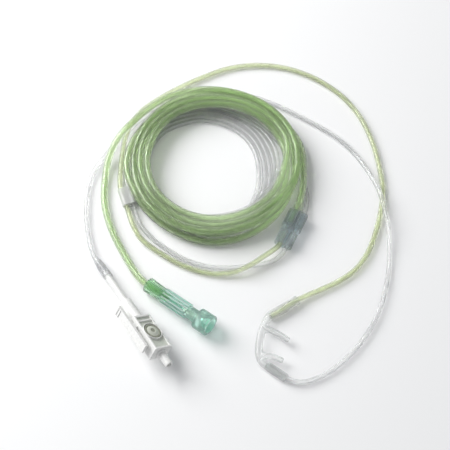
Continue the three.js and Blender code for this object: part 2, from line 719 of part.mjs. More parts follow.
function adapterGeometry() {
  const barrelStart = HUB_LENGTH - HUB_SEAT_DEPTH + FIT;
  const halfWidth = BOX_WIDTH / 2;
  const halfHeight = BOX_HEIGHT / 2;
  const middle = (THROAT_END + boxEnd) / 2;
  const end = boxEnd + NIPPLE_LENGTH;
  const box = rounded(THROAT_END, boxEnd, BOX_WIDTH, BOX_HEIGHT, 0.8);
  const seat = new THREE.CylinderGeometry(WINDOW_SEAT_RADIUS, WINDOW_SEAT_RADIUS,
    WINDOW_SEAT_HEIGHT + 3, 28);
  seat.rotateX(Math.PI / 2);
  seat.translate(middle, 0, halfHeight + WINDOW_SEAT_HEIGHT - (WINDOW_SEAT_HEIGHT + 3) / 2);
  const latchStart = THROAT_END - LATCH_OVERHANG;
  const latch = block(latchStart, boxEnd - 4, -latchOut, -latchOut + LATCH_THICKNESS,
    -LATCH_HEIGHT / 2, LATCH_HEIGHT / 2);
  const fulcrum = block(THROAT_END + 3, THROAT_END + 3 + LATCH_FULCRUM_LENGTH,
    -latchOut + LATCH_THICKNESS / 2, -halfWidth + 1, -LATCH_HEIGHT / 2, LATCH_HEIGHT / 2);
  const outside = joined([
    box,
    rod(barrelStart, BARREL_END + 0.5, BARREL_RADIUS, 20),
    turned([
      [BARREL_END, 0],
      [BARREL_END, THROAT_RADIUS - 0.3],
      [BARREL_END + 0.3, THROAT_RADIUS],
      [THROAT_END + 0.5, THROAT_RADIUS],
      [THROAT_END + 0.5, 0],
    ]),
    rod(boxEnd - 0.5, boxEnd + NIPPLE_FLANGE_LENGTH, NIPPLE_FLANGE_RADIUS, 20),
    rod(boxEnd, end, NIPPLE_RADIUS, 20),
    latch,
    fulcrum,
  ]);
  const recess = block(THROAT_END + BOX_RECESS_RIM, boxEnd - BOX_RECESS_RIM,
    -halfWidth + BOX_RECESS_RIM, halfWidth - BOX_RECESS_RIM,
    halfHeight - BOX_RECESS_DEPTH, halfHeight + 1);
  const windowWell = new THREE.CylinderGeometry(WINDOW_RADIUS + FIT, WINDOW_RADIUS + FIT,
    WINDOW_THICKNESS + FIT + 1, 24);
  windowWell.rotateX(Math.PI / 2);
  const wellFloor = halfHeight + WINDOW_SEAT_HEIGHT - WINDOW_THICKNESS - FIT;
  windowWell.translate(middle, 0, wellFloor + (WINDOW_THICKNESS + FIT + 1) / 2);
  const shell = carved(outside, [recess]).add(solid(seat));
  const body = carved(shell, [windowWell, rod(barrelStart - 1, end + 1, ADAPTER_LUMEN_RADIUS, 10)]);
  return geometryOf(body);
}

function windowGeometry() {
  const geometry = new THREE.CylinderGeometry(WINDOW_RADIUS, WINDOW_RADIUS, WINDOW_THICKNESS, 24);
  geometry.rotateX(Math.PI / 2);
  const top = BOX_HEIGHT / 2 + WINDOW_SEAT_HEIGHT;
  geometry.translate((THROAT_END + boxEnd) / 2, 0, top - WINDOW_THICKNESS / 2);
  return geometry;
}

function samplingAdapter() {
  const frame = adapterFrame();
  frame.add(piece('sampling_hub', hubGeometry(), CLEAR_PVC));
  frame.add(piece('adapter_body', adapterGeometry(), WHITE));
  frame.add(piece('adapter_window', windowGeometry(), WINDOW_GREY));
  return frame;
}

function samplingFeedTail() {
  const way = route([
    [-17.6, 80.9, 1.45],
    [-27, 79.4, 1.45],
    [-36, 77, 1.45],
    [-44.4, 72.8, 1.45],
    [-52, 65.8, 1.45],
    [-59.6, 56, 1.45],
    [-65, 48.3, 1.45],
    [-70, 40.5, 1.45],
    [-74, 31.5, 1.45],
    [-76, 20, 1.45],
    [-76, 8, 1.45],
    [-74.6, -4, 1.45],
    [-72.2, -14, 1.7],
  ]);
  const frame = adapterFrame();
  const mouthBefore = frame.localToWorld(new THREE.Vector3(-3, 0, 0));
  const inside = frame.localToWorld(new THREE.Vector3(HUB_TUBE_DEPTH - END_GAP, 0, 0));
  const points = [...way, mouthBefore, inside];
  return piece('sampling_feed_tail', sweep(points, samplingFeedRadius, TUBE_SIDES, TAIL_STEPS),
    CLEAR_PVC);
}

const cannula = new THREE.Group();
cannula.position.set(-FITTINGS_MIDDLE[0], -FITTINGS_MIDDLE[1], 0);
cannula.add(
  nasalPiece(),
  oxygenLoopTube(),
  samplingLoopTube(),
  slideSleeve(),
  junctionCollar(),
  oxygenFeedLead(),
  oxygenCoil(),
  oxygenFeedTail(),
  samplingFeedLead(),
  samplingCoil(),
  samplingFeedTail(),
  oxygenConnector(),
  samplingAdapter(),
);

export default cannula;
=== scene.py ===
import math

import bmesh
import bpy
from mathutils import Matrix, Vector


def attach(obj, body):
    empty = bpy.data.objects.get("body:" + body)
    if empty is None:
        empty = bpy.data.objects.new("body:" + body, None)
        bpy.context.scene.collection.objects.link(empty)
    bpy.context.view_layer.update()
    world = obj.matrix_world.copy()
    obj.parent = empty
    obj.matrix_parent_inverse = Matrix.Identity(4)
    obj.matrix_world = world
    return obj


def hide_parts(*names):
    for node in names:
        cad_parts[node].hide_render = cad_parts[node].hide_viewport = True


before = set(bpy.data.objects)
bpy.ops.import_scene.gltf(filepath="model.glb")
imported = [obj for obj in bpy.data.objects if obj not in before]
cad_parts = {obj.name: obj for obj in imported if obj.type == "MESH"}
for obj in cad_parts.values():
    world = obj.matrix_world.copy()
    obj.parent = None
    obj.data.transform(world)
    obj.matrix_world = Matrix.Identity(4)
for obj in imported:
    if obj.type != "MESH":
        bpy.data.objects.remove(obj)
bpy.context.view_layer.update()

MM = 0.001
# The table point that the photograph's middle shows
MIDDLE = Vector((12.3, 34.4, 0)) * MM
TABLE_GAP = 0.1

# Camera: looks along +Y and down at 60 degrees at the photograph's middle
CAMERA_DISTANCE = 0.58
CAMERA_ELEVATION = math.radians(60)
CAMERA_LENS = 85
CAMERA_SENSOR = 36
camera_data = bpy.data.cameras.new("camera")
camera_data.lens = CAMERA_LENS
camera_data.sensor_width = CAMERA_SENSOR
camera = bpy.data.objects.new("camera", camera_data)
bpy.context.scene.collection.objects.link(camera)
to_camera = Vector((0, -math.cos(CAMERA_ELEVATION), math.sin(CAMERA_ELEVATION)))
camera.location = MIDDLE + to_camera * CAMERA_DISTANCE
camera.rotation_euler = (math.pi / 2 - CAMERA_ELEVATION, 0, 0)
bpy.context.scene.camera = camera

# Tubes and the radii of the bores that take them, in millimetres
TUBE_STEP = 1.2
TUBE_SIDES = 20
LUMEN_SHARE = 0.55
OXYGEN_LOOP_DIAMETER = 3.0
SAMPLING_LOOP_DIAMETER = 2.7
OXYGEN_FEED_DIAMETER = 3.9
SAMPLING_FEED_DIAMETER = 2.9
OXYGEN_LOOP_BORE = 1.75
SAMPLING_LOOP_BORE = 1.6
OXYGEN_FEED_BORE = 2.2
SAMPLING_FEED_BORE = 1.7


def heading(degrees):
    return Vector((math.cos(math.radians(degrees)), math.sin(math.radians(degrees)), 0))


def beside(start, degrees, along, left, z):
    """The point at a distance along a heading and another to its left."""
    place = Vector((start[0], start[1], z))
    return place + heading(degrees) * along + heading(degrees + 90) * left


def route(points):
    return [Vector((x, y, z + TABLE_GAP)) for x, y, z in points]


def smooth_path(points, step=TUBE_STEP):
    """Points a step apart along the centripetal Catmull-Rom curve through the given ones."""
    p = [Vector(q) for q in points]
    p = [2 * p[0] - p[1]] + p + [2 * p[-1] - p[-2]]
    dense = []
    for i in range(1, len(p) - 2):
        a, b, c, d = p[i - 1 : i + 3]
        t1 = (b - a).length ** 0.5
        t2 = t1 + (c - b).length ** 0.5
        t3 = t2 + (d - c).length ** 0.5
        count = max(2, int((c - b).length / step * 3))
        for k in range(count):
            t = t1 + (t2 - t1) * k / count
            ab = a.lerp(b, t / t1)
            bc = b.lerp(c, (t - t1) / (t2 - t1))
            cd = c.lerp(d, (t - t2) / (t3 - t2))
            abc = ab.lerp(bc, t / t2)
            bcd = bc.lerp(cd, (t - t1) / (t3 - t1))
            dense.append(abc.lerp(bcd, (t - t1) / (t2 - t1)))
    dense.append(p[-2])
    gone = [0.0]
    for a, b in zip(dense, dense[1:]):
        gone.append(gone[-1] + (b - a).length)
    count = max(2, round(gone[-1] / step))
    out, j = [], 0
    for k in range(count + 1):
        s = gone[-1] * k / count
        while j < len(gone) - 2 and gone[j + 1] < s:
            j += 1
        span = gone[j + 1] - gone[j] or 1
        out.append(dense[j].lerp(dense[j + 1], min(1, (s - gone[j]) / span)))
    return out


def rings(path, radii, sides):
    """Rings of points round a path in millimetres, kept from twisting."""
    normal = None
    made = []
    for i, centre in enumerate(path):
        along = (path[min(i + 1, len(path) - 1)] - path[max(i - 1, 0)]).normalized()
        if normal is None:
            normal = along.cross(Vector((0, 0, 1)))
        normal = (normal - along * normal.dot(along)).normalized()
        side = along.cross(normal)
        radius = radii[i] if hasattr(radii, "__len__") else radii
        made.append([
            centre + (normal * math.cos(a) + side * math.sin(a)) * radius
            for a in (2 * math.pi * k / sides for k in range(sides))
        ])
    return made


def skin(verts, faces, ring_list, flip=False):
    """Adds the side faces over the rings and returns each ring's vertex numbers."""
    numbers = []
    for ring in ring_list:
        numbers.append(range(len(verts), len(verts) + len(ring)))
        verts.extend(ring)
    n = len(ring_list[0])
    for a, b in zip(numbers, numbers[1:]):
        for k in range(n):
            face = (a[k], a[(k + 1) % n], b[(k + 1) % n], b[k])
            faces.append(face[::-1] if flip else face)
    return numbers


def mesh_object(name, verts, faces, matrix=None, smooth=True):
    """An object in metres from millimetre points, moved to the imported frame."""
    mesh = bpy.data.meshes.new(name)
    place = Matrix.Translation(MIDDLE) @ Matrix.Diagonal((MM, MM, MM, 1))
    if matrix is not None:
        place = place @ matrix
    mesh.from_pydata([place @ Vector(v) for v in verts], [], [tuple(f) for f in faces])
    mesh.validate()
    if smooth:
        mesh.shade_smooth()
    made = bpy.data.objects.new(name, mesh)
    bpy.context.scene.collection.objects.link(made)
    return made


def hollow_tube(name, path, outer, inner, sides=TUBE_SIDES):
    """A closed hollow tube: outside, lumen and a flat ring at each end."""
    verts, faces = [], []
    outside = skin(verts, faces, rings(path, outer, sides))
    lumen = skin(verts, faces, rings(path, inner, sides), flip=True)
    for end, flip in ((0, True), (-1, False)):
        a, b = outside[end], lumen[end]
        for k in range(sides):
            face = (a[k], a[(k + 1) % sides], b[(k + 1) % sides], b[k])
            faces.append(face if flip else face[::-1])
    made = mesh_object(name, verts, faces)
    fix_normals(made)
    return made


def rod(name, path, radii, sides=24, matrix=None):
    """A closed solid along a path, with a flat cap at each end."""
    verts, faces = [], []
    outside = skin(verts, faces, rings(path, radii, sides))
    faces.append(tuple(outside[0])[::-1])
    faces.append(tuple(outside[-1]))
    made = mesh_object(name, verts, faces, matrix)
    fix_normals(made)
    return made


def turned(name, profile, sides=48, matrix=None):
    """A body of revolution about x from pairs of x and radius."""
    verts, faces = [], []
    angles = [2 * math.pi * k / sides for k in range(sides)]
    circles = [[Vector((x, r * math.cos(a), r * math.sin(a))) for a in angles] for x, r in profile]
    outside = skin(verts, faces, circles)
    faces.append(tuple(outside[0])[::-1])
    faces.append(tuple(outside[-1]))
    made = mesh_object(name, verts, faces, matrix)
    fix_normals(made)
    return made


def fix_normals(o):
    b = bmesh.new()
    b.from_mesh(o.data)
    bmesh.ops.recalc_face_normals(b, faces=b.faces)
    b.to_mesh(o.data)
    b.free()


def bake(o):
    """Puts an object's modifiers into its mesh."""
    bpy.context.view_layer.update()
    graph = bpy.context.evaluated_depsgraph_get()
    mesh = bpy.data.meshes.new_from_object(o.evaluated_get(graph))
    old = o.data
    o.modifiers.clear()
    o.data = mesh
    bpy.data.meshes.remove(old)
    o.data.shade_smooth()
    return o


def combine(target, operation, tools):
    for tool in tools:
        mod = target.modifiers.new("combine", "BOOLEAN")
        mod.operation = operation
        mod.object = tool
        mod.solver = "MANIFOLD"
    bake(target)
    for tool in tools:
        bpy.data.objects.remove(tool)
    return target


def add(target, *tools):
    return combine(target, "UNION", tools)


def cut(target, *tools):
    return combine(target, "DIFFERENCE", tools)


def soften(o, voxel, passes=6, factor=0.5):
    """Rounds the joins of a moulded soft piece."""
    mod = o.modifiers.new("remesh", "REMESH")
    mod.mode = "VOXEL"
    mod.voxel_size = voxel * MM
    mod = o.modifiers.new("smooth", "SMOOTH")
    mod.iterations = passes
    mod.factor = factor
    return bake(o)


def round_edges(o, width, segments=3, angle=35):
    mod = o.modifiers.new("bevel", "BEVEL")
    mod.width = width * MM
    mod.segments = segments
    mod.limit_method = "ANGLE"
    mod.angle_limit = math.radians(angle)
    bake(o)
    mod = o.modifiers.new("normals", "WEIGHTED_NORMAL")
    mod.keep_sharp = True
    return bake(o)


def block(name, x0, x1, y0, y1, z0, z1, matrix=None):
    verts = [(x, y, z) for x in (x0, x1) for y in (y0, y1) for z in (z0, z1)]
    faces = [(0, 1, 3, 2), (4, 6, 7, 5), (0, 4, 5, 1), (2, 3, 7, 6), (0, 2, 6, 4), (1, 5, 7, 3)]
    made = mesh_object(name, verts, faces, matrix)
    fix_normals(made)
    return made


# Places shared by the tubes and the fittings, in millimetres on the table
SLEEVE_CENTRE = (-54, 16.6)
SLEEVE_HEADING = -72
SLEEVE_Z = 2.25
SLEEVE_OXYGEN_SIDE = -1.8
SLEEVE_SAMPLING_SIDE = 1.95
COLLAR_LOOP_END = (31, -14.4)
COLLAR_HEADING = 65
COLLAR_Z = 3.45
COLLAR_LENGTH = 21.6
COLLAR_STEP = 11.2
COLLAR_BORE_DEPTH = 8.6
COLLAR_LOOP_SIDES = (2.05, -2.2)
COLLAR_FEED_SIDES = (2.15, -2.65)
NASAL_Z = 2.4
OXYGEN_SOCKET_MOUTH = (38, -46.5)
OXYGEN_SOCKET_HEADING = 213
OXYGEN_SOCKET_LENGTH = 18
SAMPLING_SOCKET_MOUTH = (30.6, -90.2)
SAMPLING_SOCKET_HEADING = 144
SAMPLING_SOCKET_LENGTH = 12
CONNECTOR_PITCH = math.asin(1.6 / 31.8)
CONNECTOR = (
    Matrix.Translation((-40.4, -38.5, 4.1 * math.cos(CONNECTOR_PITCH) + TABLE_GAP))
    @ Matrix.Rotation(math.radians(-37), 4, "Z")
    @ Matrix.Rotation(-CONNECTOR_PITCH, 4, "Y")
)
ADAPTER = (
    Matrix.Translation((-67.9, -23.7, 2.111))
    @ Matrix.Rotation(math.radians(-57.2), 4, "Z")
    @ Matrix.Rotation(math.radians(-5.8), 4, "Y")
    @ Matrix.Rotation(math.radians(-34.5), 4, "X")
)


def in_sleeve(side, along):
    return beside(SLEEVE_CENTRE, SLEEVE_HEADING, along, side, SLEEVE_Z)


def at_collar(side, along):
    return beside(COLLAR_LOOP_END, COLLAR_HEADING, along, side, COLLAR_Z)


# Loop tubes, from the nasal piece round through the sleeve to the collar
oxygen_mouth = Vector((*OXYGEN_SOCKET_MOUTH, NASAL_Z))
oxygen_loop_path = smooth_path(
    [beside(OXYGEN_SOCKET_MOUTH, OXYGEN_SOCKET_HEADING, 17.6, 0, NASAL_Z), oxygen_mouth]
    + route([
        (50, -40.4, 1.7), (59.5, -35.5, 1.5), (69, -28.5, 1.5), (76, -19, 1.5),
        (81.5, -6, 1.5), (85.5, 8, 1.5), (87.5, 21.5, 1.5), (86.5, 38, 1.5),
        (83.5, 55, 1.5), (77.5, 72, 1.5), (67.5, 87, 1.5), (51.5, 100, 1.5),
        (35, 107, 1.5), (18.5, 109, 1.5), (2, 106.5, 1.5), (-12, 100.5, 1.5),
        (-26, 92.5, 1.8), (-39.5, 82, 3.2), (-48, 73, 4.8), (-53.4, 64.5, 4.9),
        (-56.4, 55, 4.2), (-57.8, 45, 2.9), (-58.4, 34, SLEEVE_Z),
    ])
    + [in_sleeve(SLEEVE_OXYGEN_SIDE, -8), in_sleeve(SLEEVE_OXYGEN_SIDE, 9.25),
       in_sleeve(SLEEVE_OXYGEN_SIDE, 18.5)]
    + route([
        (-45, -10, 1.9), (-34, -18.8, 1.5), (-21, -26.4, 1.5), (-7.5, -30.6, 1.5),
        (4, -30.6, 2.6), (13, -27.4, 4.6), (20, -22.4, 4.6), (25.5, -18, 4),
    ])
    + [at_collar(COLLAR_LOOP_SIDES[0], -1.5), at_collar(COLLAR_LOOP_SIDES[0], 8.2)]
)
sampling_mouth = Vector((*SAMPLING_SOCKET_MOUTH, NASAL_Z))
sampling_loop_path = smooth_path(
    [beside(SAMPLING_SOCKET_MOUTH, SAMPLING_SOCKET_HEADING, 11.6, 0, NASAL_Z), sampling_mouth]
    + route([
        (38, -92, 1.7), (48, -89, 1.35), (57, -83, 1.35), (66, -74.5, 1.35),
        (73, -65.5, 1.35), (79.5, -54, 1.35), (84.5, -39.5, 1.35), (87.5, -25, 1.5),
        (88.3, -12, 2.8), (87.9, 0, 4.5), (86.6, 10, 4.85), (84.6, 20, 4.6),
        (80.8, 31, 3), (73.5, 45.5, 1.4), (66, 54.5, 1.35), (56.5, 62.5, 1.35),
        (42.5, 72, 1.35), (29, 80, 1.35), (18, 85, 1.35), (6, 87.8, 1.35),
        (-5, 87.9, 1.35), (-16, 86.3, 2), (-26, 82.6, 3.6), (-35, 77.2, 4.8),
        (-42.8, 69.8, 4.3), (-48.9, 61, 3), (-53, 50.8, 2.2), (-54.9, 40, 2.1),
        (-55.3, 31, SLEEVE_Z),
    ])
    + [in_sleeve(SLEEVE_SAMPLING_SIDE, -8), in_sleeve(SLEEVE_SAMPLING_SIDE, 9.25),
       in_sleeve(SLEEVE_SAMPLING_SIDE, 18.5)]
    + route([
        (-40.6, -8, 1.7), (-32, -15.4, 1.35), (-20.5, -22.6, 1.35), (-8, -26.6, 1.35),
        (4, -27, 1.35), (15, -25.8, 1.35), (24.5, -23.6, 1.6), (29.5, -20.6, 2.6),
    ])
    + [at_collar(COLLAR_LOOP_SIDES[1], -1.5), at_collar(COLLAR_LOOP_SIDES[1], 8.2)]
)


def eased(x, x0, x1):
    """0 up to x0, 1 from x1 on and a smooth rise between."""
    t = min(1, max(0, (x - x0) / (x1 - x0)))
    return t * t * (3 - 2 * t)


def around(*knots):
    """A smooth function once round, through pairs of an angle in degrees and a value."""
    n = len(knots)

    def value(angle):
        angle %= 360
        i = max(k for k in range(n) if knots[k][0] <= angle)
        near = []
        for d in (-1, 0, 1, 2):
            turns, k = divmod(i + d, n)
            near.append((knots[k][0] + 360 * turns, knots[k][1]))
        (a0, v0), (a1, v1), (a2, v2), (a3, v3) = near
        t = (angle - a1) / (a2 - a1)
        m1 = (v2 - v0) / (a2 - a0) * (a2 - a1)
        m2 = (v3 - v1) / (a3 - a1) * (a2 - a1)
        return (
            v1 * (2 * t**3 - 3 * t**2 + 1) + m1 * (t**3 - 2 * t**2 + t)
            + v2 * (3 * t**2 - 2 * t**3) + m2 * (t**3 - t**2)
        )

    return value


# The strands' small unevenness: millimetres, waves to a radian and phase
UNEVEN = ((0.14, 2.37, 1), (0.1, 5.21, 0))


def wound(centre, first, last, radius, height, step=7.5):
    """Points round a centre from one angle to another, in degrees counted on over the turns."""
    count = round((last - first) / step)
    points = []
    for k in range(count + 1):
        angle = first + (last - first) * k / count
        turn = math.radians(angle)
        r = radius(angle)
        r += sum(size * math.sin(waves * turn + phase) for size, waves, phase in UNEVEN)
        points.append(Vector((
            centre[0] + r * math.cos(turn),
            centre[1] + r * math.sin(turn),
            height(angle) + TABLE_GAP,
        )))
    return points


def laid(slots, moves):
    """Radius and height along a winding that moves from each slot to the next at an angle."""
    def value(which):
        def at(angle):
            v = slots[0][which](angle)
            for slot, (start, end) in zip(slots[1:], moves):
                t = eased(angle, start, end)
                if t > 0:
                    v += (slot[which](angle) - v) * t
            return v
        return at
    return value(0), value(1)


# The oxygen feed: two lower strands, splayed at the front, then three upper strands outwards
OXYGEN_COIL_CENTRE = (-6, 37)
LEVEL_LOW = around((0, 5.2), (120, 5.2), (240, 5.3))
LEVEL_HIGH = around((0, 9.1), (120, 9.1), (240, 9.1))
oxygen_radius, oxygen_height = laid(
    [
        (around((0, 49.5), (120, 49.5), (240, 49.5)), LEVEL_LOW),
        (around((0, 44.7), (90, 46), (150, 47), (180, 49), (203, 47.6), (235, 47.8), (270, 49.3),
                (315, 47)),
         around((0, 5.2), (90, 5.2), (150, 5.3), (180, 5.5), (203, 5.8), (235, 4.2), (270, 2.7),
                (315, 3.9))),
        (around((0, 40.7), (90, 40.7), (180, 41), (230, 43), (270, 45.4), (310, 43)), LEVEL_LOW),
        (around((0, 38.75), (120, 38.5), (180, 37.2), (240, 38)), LEVEL_HIGH),
        (around((0, 42.65), (120, 42.4), (180, 41.1), (240, 41.9)), LEVEL_HIGH),
        (around((0, 46.55), (90, 47), (140, 45.8), (180, 44.9), (225, 45.6), (270, 46.2)),
         around((0, 9.1), (90, 9.1), (140, 8), (180, 6.6), (225, 8.1), (270, 9))),
        (around((0, 51), (120, 51), (240, 51)), LEVEL_HIGH),
    ],
    [(10, 60), (375, 425), (738, 775), (1065, 1103), (1395, 1433), (1868, 1930)],
)
oxygen_feed_path = smooth_path(
    [at_collar(COLLAR_FEED_SIDES[0], 13.4), at_collar(COLLAR_FEED_SIDES[0], 22.6)]
    + route([(40.9, 13.5, 4.5), (42.6, 20, 5.1), (43.3, 26, 5.3), (43.5, 33, 5.3)])
    + wound(OXYGEN_COIL_CENTRE, 5, 1925, oxygen_radius, oxygen_height)
    + route([
        (-46.4, 69, 9.1), (-52, 62.6, 9), (-57, 56.6, 8.5),
        (-61.5, 50, 6.9), (-64.2, 44, 4.9), (-66, 37, 3), (-66.8, 27, 1.95),
        (-66.4, 14, 1.95), (-63.8, 2.5, 1.95), (-60, -7.5, 1.95), (-55, -17.5, 1.95),
        (-49.8, -26.8, 2.4), (-46, -33, 3.3),
    ])
    + [CONNECTOR @ Vector((-2.5, 0, 0)), CONNECTOR @ Vector((14.6, 0, 0))]
)

# The sampling feed: strands inwards on the table, then up along the oxygen coil's inner side and
# out under it
SAMPLING_COIL_CENTRE = (-12.25, 36.5)
innermost = around(
    (0, 31.2), (40, 31.1), (90, 32), (112, 32.1), (135, 33.2), (180, 32), (225, 32.6), (270, 34.8),
    (300, 35.8), (330, 33.8),
)
pitch = around((0, 2.9), (90, 2.9), (140, 2.4), (180, 2.2), (220, 2.4), (270, 2.7), (315, 2.9))


def strand(k):
    return lambda a: innermost(a) + k * pitch(a)


def on_table(a):
    return SAMPLING_FEED_DIAMETER / 2


def way_out(a):
    """Height of the clear tube as it climbs the oxygen coil's inner side and dips under it."""
    return 1.6 + 3.1 * eased(a, 245, 290) - 1.8 * eased(a, 380, 425)


sampling_radius, sampling_height = laid(
    [(around((0, 49), (120, 49), (240, 49)), on_table)]
    + [(strand(k), on_table) for k in (4, 3, 2, 1, 0)],
    [(0, 45), (290, 340), (650, 700), (1010, 1060), (1370, 1420)],
)
sampling_feed_path = smooth_path(
    [at_collar(COLLAR_FEED_SIDES[1], 13.4), at_collar(COLLAR_FEED_SIDES[1], 22.6)]
    + route([(44.6, 10.5, 2.4), (45.3, 17, 1.5), (44.2, 24.5, 1.45), (41.4, 31.5, 1.45)])
    + wound(SAMPLING_COIL_CENTRE, 5, 1665, sampling_radius, sampling_height)
    + wound(OXYGEN_COIL_CENTRE, 258, 425,
            around((0, 35.4), (90, 35.6), (180, 35), (270, 33.9), (315, 34.4)), way_out)
    + route([
        (-5, 76.4, 2.2), (-17.6, 80.2, 1.45), (-27, 79.4, 1.45), (-36, 77, 1.45),
        (-44.4, 72.8, 1.45), (-52, 65.8, 1.45), (-59.6, 56, 1.45), (-65, 48.3, 1.45),
        (-70, 40.5, 1.45), (-74, 31.5, 1.45), (-76, 20, 1.45), (-76, 8, 1.45),
        (-74.6, -4, 1.45), (-72.2, -14, 1.7),
    ])
    + [ADAPTER @ Vector((-3, 0, 0)), ADAPTER @ Vector((6.2, 0, 0))]
)


def length_of(path):
    return sum((b - a).length for a, b in zip(path, path[1:])) * MM


TUBES = [
    ("oxygen_loop", oxygen_loop_path, OXYGEN_LOOP_DIAMETER, oxygen_mouth,
     ["oxygen_loop_tube"], "pale_green_vinyl"),
    ("sampling_loop", sampling_loop_path, SAMPLING_LOOP_DIAMETER, sampling_mouth,
     ["sampling_loop_tube"], "clear_vinyl"),
    ("oxygen_feed", oxygen_feed_path, OXYGEN_FEED_DIAMETER,
     at_collar(COLLAR_FEED_SIDES[0], COLLAR_LENGTH),
     ["oxygen_feed_lead", "oxygen_coil", "oxygen_feed_tail"], "green_vinyl"),
    ("sampling_feed", sampling_feed_path, SAMPLING_FEED_DIAMETER,
     at_collar(COLLAR_FEED_SIDES[1], COLLAR_LENGTH),
     ["sampling_feed_lead", "sampling_coil", "sampling_feed_tail"], "clear_vinyl"),
]
cords = {}
for name, path, diameter, start, nodes, slot in TUBES:
    tube = hollow_tube(name, path, diameter / 2, diameter / 2 * LUMEN_SHARE)
    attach(tube, "set")
    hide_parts(*nodes)
    cords[name] = tube


# Materials: shares of the colour and of the roughness in the mottle, and the waves of the surface
MOTTLE_DARK, MOTTLE_LIGHT = 0.93, 1.04
GLOSS_LOW, GLOSS_HIGH = 0.7, 1.3
WAVE_SCALE = 1.7
RELIEF_DEPTH = 0.0005
VINYL_SCALE, VINYL_IOR = 260, 1.42
PLASTIC_SCALE, PLASTIC_IOR = 900, 1.47


def vinyl(name, colour, transmission, roughness, alpha, bump, scale=VINYL_SCALE, ior=VINYL_IOR):
    """Glossy translucent soft plastic with a faint mottle and flow waviness."""
    material = bpy.data.materials.new(name)
    material.use_nodes = True
    tree = material.node_tree
    shader = tree.nodes["Principled BSDF"]
    shader.inputs["Transmission Weight"].default_value = transmission
    shader.inputs["IOR"].default_value = ior
    shader.inputs["Alpha"].default_value = alpha
    place = tree.nodes.new("ShaderNodeTexCoord")
    mottle = tree.nodes.new("ShaderNodeTexNoise")
    mottle.inputs["Scale"].default_value = scale
    mottle.inputs["Detail"].default_value = 3
    tree.links.new(place.outputs["Object"], mottle.inputs["Vector"])
    tint = tree.nodes.new("ShaderNodeValToRGB")
    tint.color_ramp.elements[0].position = 0.3
    tint.color_ramp.elements[0].color = (*[c * MOTTLE_DARK for c in colour], 1)
    tint.color_ramp.elements[1].position = 0.7
    tint.color_ramp.elements[1].color = (*[min(1, c * MOTTLE_LIGHT) for c in colour], 1)
    tree.links.new(mottle.outputs["Fac"], tint.inputs["Fac"])
    tree.links.new(tint.outputs["Color"], shader.inputs["Base Color"])
    gloss = tree.nodes.new("ShaderNodeMapRange")
    gloss.inputs["To Min"].default_value = roughness * GLOSS_LOW
    gloss.inputs["To Max"].default_value = roughness * GLOSS_HIGH
    tree.links.new(mottle.outputs["Fac"], gloss.inputs["Value"])
    tree.links.new(gloss.outputs["Result"], shader.inputs["Roughness"])
    waves = tree.nodes.new("ShaderNodeTexNoise")
    waves.inputs["Scale"].default_value = scale * WAVE_SCALE
    waves.inputs["Detail"].default_value = 2
    tree.links.new(place.outputs["Object"], waves.inputs["Vector"])
    relief = tree.nodes.new("ShaderNodeBump")
    relief.inputs["Strength"].default_value = bump
    relief.inputs["Distance"].default_value = RELIEF_DEPTH
    tree.links.new(waves.outputs["Fac"], relief.inputs["Height"])
    tree.links.new(relief.outputs["Normal"], shader.inputs["Normal"])
    return material


def paint(o, material):
    o.data.materials.clear()
    o.data.materials.append(material)
    return o


green = vinyl("green_vinyl", (0.76, 0.91, 0.6), 0.88, 0.06, 0.7, 0.002)
pale_green = vinyl("pale_green_vinyl", (0.86, 0.92, 0.67), 0.88, 0.06, 0.65, 0.002)
clear = vinyl("clear_vinyl", (0.97, 0.98, 0.98), 0.94, 0.05, 0.5, 0.002)
paint(cords["oxygen_loop"], pale_green)
paint(cords["sampling_loop"], clear)
paint(cords["oxygen_feed"], green)
paint(cords["sampling_feed"], clear)


def plastic(name, colour, roughness, bump=0.03, transmission=0, alpha=1):
    """Hard moulded plastic with a fine grain and a faint mottle."""
    return vinyl(name, colour, transmission, roughness, alpha, bump, PLASTIC_SCALE, PLASTIC_IOR)


def recolour_faces(o, matrix, test, material):
    """Gives another colour to the faces that pass a test on their middle and normal: another
    finish, or a painted highlight or shade.
    """
    o.data.materials.append(material)
    back = (Matrix.Translation(MIDDLE) @ Matrix.Diagonal((MM, MM, MM, 1)) @ matrix).inverted()
    turn = back.to_3x3()
    for face in o.data.polygons:
        if test(back @ face.center, (turn @ face.normal).normalized()):
            face.material_index = len(o.data.materials) - 1


BORE_SIDES = 32


def oval_bar(name, x0, x1, width, height, corner, matrix, arc=8):
    """A bar along x with a rounded rectangle section."""
    ring = []
    for cy, cz, start in (
        (width / 2 - corner, -height / 2 + corner, -90),
        (width / 2 - corner, height / 2 - corner, 0),
        (-width / 2 + corner, height / 2 - corner, 90),
        (-width / 2 + corner, -height / 2 + corner, 180),
    ):
        for k in range(arc + 1):
            angle = math.radians(start + 90 * k / arc)
            ring.append((cy + corner * math.cos(angle), cz + corner * math.sin(angle)))
    verts, faces = [], []
    sections = [[Vector((x, y, z)) for y, z in ring] for x in (x0, x1)]
    ends = skin(verts, faces, sections)
    faces.append(tuple(ends[0])[::-1])
    faces.append(tuple(ends[1]))
    made = mesh_object(name, verts, faces, matrix)
    fix_normals(made)
    return made


def bore(name, x0, x1, radius, matrix, y):
    place = matrix @ Matrix.Translation((0, y, 0))
    return turned(name, [(x0, radius), (x1, radius)], BORE_SIDES, place)


